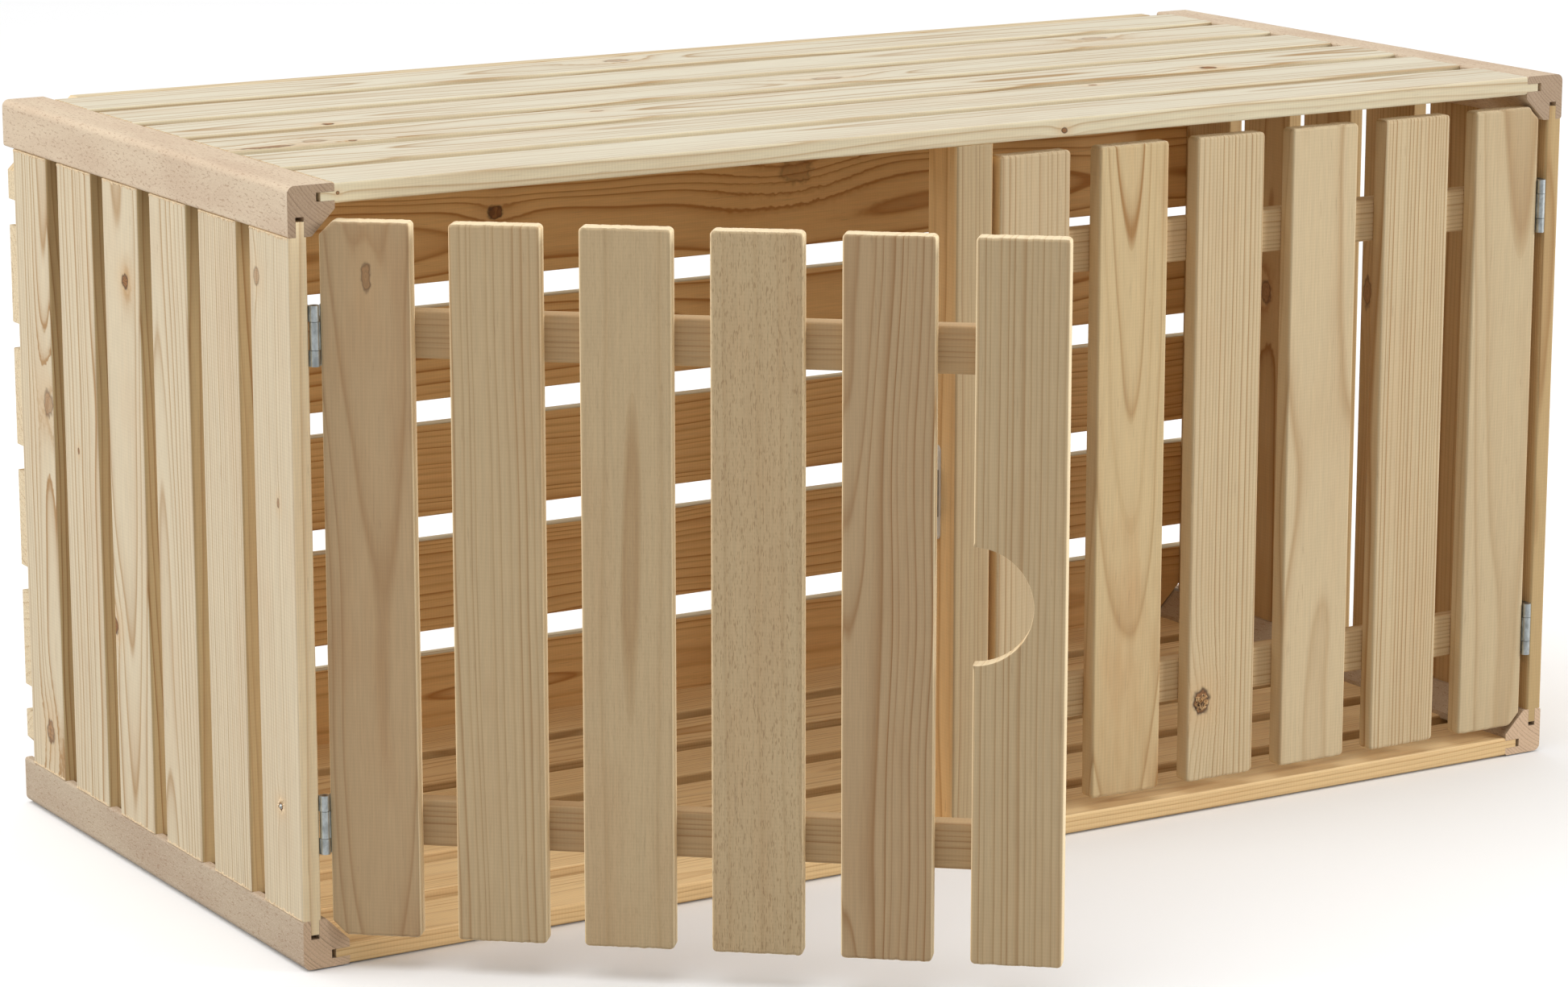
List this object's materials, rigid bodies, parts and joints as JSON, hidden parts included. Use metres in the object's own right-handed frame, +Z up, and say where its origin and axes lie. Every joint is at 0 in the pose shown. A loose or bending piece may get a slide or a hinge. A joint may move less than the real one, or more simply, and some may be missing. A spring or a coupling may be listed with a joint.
{
  "type": "rabbit hutch",
  "caption": "Slatted wooden small-animal hutch: grooved corner rails, slatted walls and a pair of framed swing doors hinged at the outer sides, with finger cut-outs and magnetic catches.",
  "frame": {"origin": "on the ground under the middle of the outline, with the left door open by 40 degrees as stored", "axes": "+X to the right along the front, +Y to the back, +Z up; the doors are on the -Y side"},
  "size_m": [1, 0.7472, 0.498],
  "materials": {
    "spruce": "planed, bare, matt",
    "beech": "moulded, bare, matt",
    "zinc_plate": "zinc plated, dull",
    "screw_steel": "zinc plated",
    "pin_steel": "plain drawn wire",
    "magnet_steel": "ground pole faces",
    "catch_plastic": "satin, moulded"
  },
  "bodies": {
    "carcass": {"rail_top_left": "beech", "rail_top_right": "beech", "rail_bottom_left": "beech", "rail_bottom_right": "beech", "centre_post": "spruce", "top_slat_1": "spruce", "top_slat_2": "spruce", "top_slat_3": "spruce", "top_slat_4": "spruce", "top_slat_5": "spruce", "top_slat_6": "spruce", "floor_slat_1": "spruce", "floor_slat_2": "spruce", "floor_slat_3": "spruce", "floor_slat_4": "spruce", "floor_slat_5": "spruce", "floor_slat_6": "spruce", "left_slat_1": "spruce", "left_slat_2": "spruce", "left_slat_3": "spruce", "left_slat_4": "spruce", "left_slat_5": "spruce", "left_slat_6": "spruce", "right_slat_1": "spruce", "right_slat_2": "spruce", "right_slat_3": "spruce", "right_slat_4": "spruce", "right_slat_5": "spruce", "right_slat_6": "spruce", "back_slat_1": "spruce", "back_slat_2": "spruce", "back_slat_3": "spruce", "back_slat_4": "spruce", "back_slat_5": "spruce", "back_slat_6": "spruce", "hinge_frame_leaves": "zinc_plate", "hinge_pins": "pin_steel", "catch_housings": "catch_plastic", "catch_magnets": "magnet_steel", "frame_screws": "screw_steel"},
    "left_door": {"left_door_slat_1": "spruce", "left_door_slat_2": "spruce", "left_door_slat_3": "spruce", "left_door_slat_4": "spruce", "left_door_slat_5": "spruce", "left_door_slat_6": "spruce", "left_door_battens": "spruce", "left_hinge_leaves": "zinc_plate", "left_strike_plate": "zinc_plate", "left_door_screws": "screw_steel"},
    "right_door": {"right_door_slat_1": "spruce", "right_door_slat_2": "spruce", "right_door_slat_3": "spruce", "right_door_slat_4": "spruce", "right_door_slat_5": "spruce", "right_door_slat_6": "spruce", "right_door_battens": "spruce", "right_hinge_leaves": "zinc_plate", "right_strike_plate": "zinc_plate", "right_door_screws": "screw_steel"}
  },
  "joints": [
    {"name": "left_door_swing", "type": "hinge", "parent": "carcass", "child": "left_door", "pos_m": [-0.4835, -0.07644, 0.249], "axis": [0, 0, -1], "range_deg": [-40, 130]},
    {"name": "right_door_swing", "type": "hinge", "parent": "carcass", "child": "right_door", "pos_m": [0.4835, -0.07644, 0.249], "axis": [0, 0, 1], "range_deg": [0, 170]}
  ]
}
